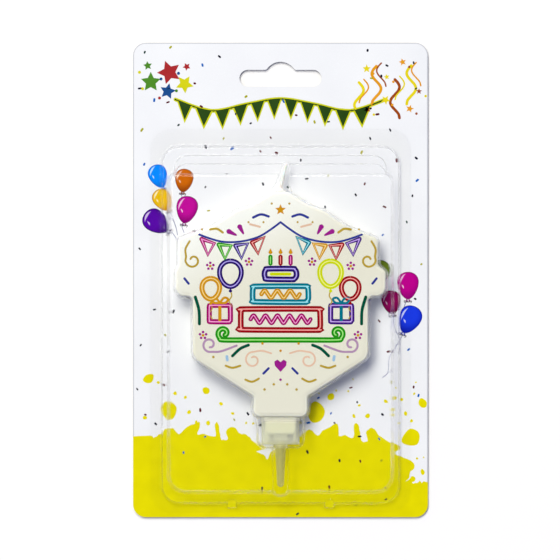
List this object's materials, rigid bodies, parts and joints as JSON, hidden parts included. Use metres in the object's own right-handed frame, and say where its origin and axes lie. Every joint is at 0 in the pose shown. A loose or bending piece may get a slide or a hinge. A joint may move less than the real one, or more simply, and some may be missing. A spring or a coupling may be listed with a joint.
{
  "type": "happy birthday candle",
  "caption": "Flat wax celebration candle in a plastic spike holder, under a clear formed blister on a printed hang card.",
  "frame": {"origin": "middle of the card's back face, on the surface that the pack lies on", "axes": "+Z out of the printed front, +Y towards the hang hole, +X to the right as the front is read"},
  "size_m": [0.115, 0.185, 0.0104],
  "materials": {
    "card_board": "coated, printed",
    "clear_sheet": "clear, glossy",
    "wax": "smooth wax, soft sheen",
    "film": "thin printed film, satin",
    "waxed_cotton": "braided cotton stiffened with wax",
    "milky_plastic": "translucent moulding"
  },
  "bodies": {
    "pack": {"backing_card": "card_board"},
    "blister": {"blister_shell": "clear_sheet"},
    "candle": {"wax_plaque": "wax", "print_film": "film", "wick": "waxed_cotton"},
    "holder": {"candle_holder": "milky_plastic"}
  },
  "joints": [
    {"name": "blister_lift", "type": "slide", "parent": "pack", "child": "blister", "axis": [0, 0, 1], "range_m": [0, 0.06]},
    {"name": "candle_lift", "type": "slide", "parent": "pack", "child": "candle", "axis": [0, 0, 1], "range_m": [0, 0.03]},
    {"name": "holder_pull", "type": "slide", "parent": "candle", "child": "holder", "axis": [0, -1, 0], "range_m": [0, 0.009]}
  ],
  "couplings": [
    {"joint": "candle_lift", "follows": "blister_lift", "ratio": 0.5},
    {"joint": "holder_pull", "follows": "blister_lift", "ratio": 0.15}
  ]
}
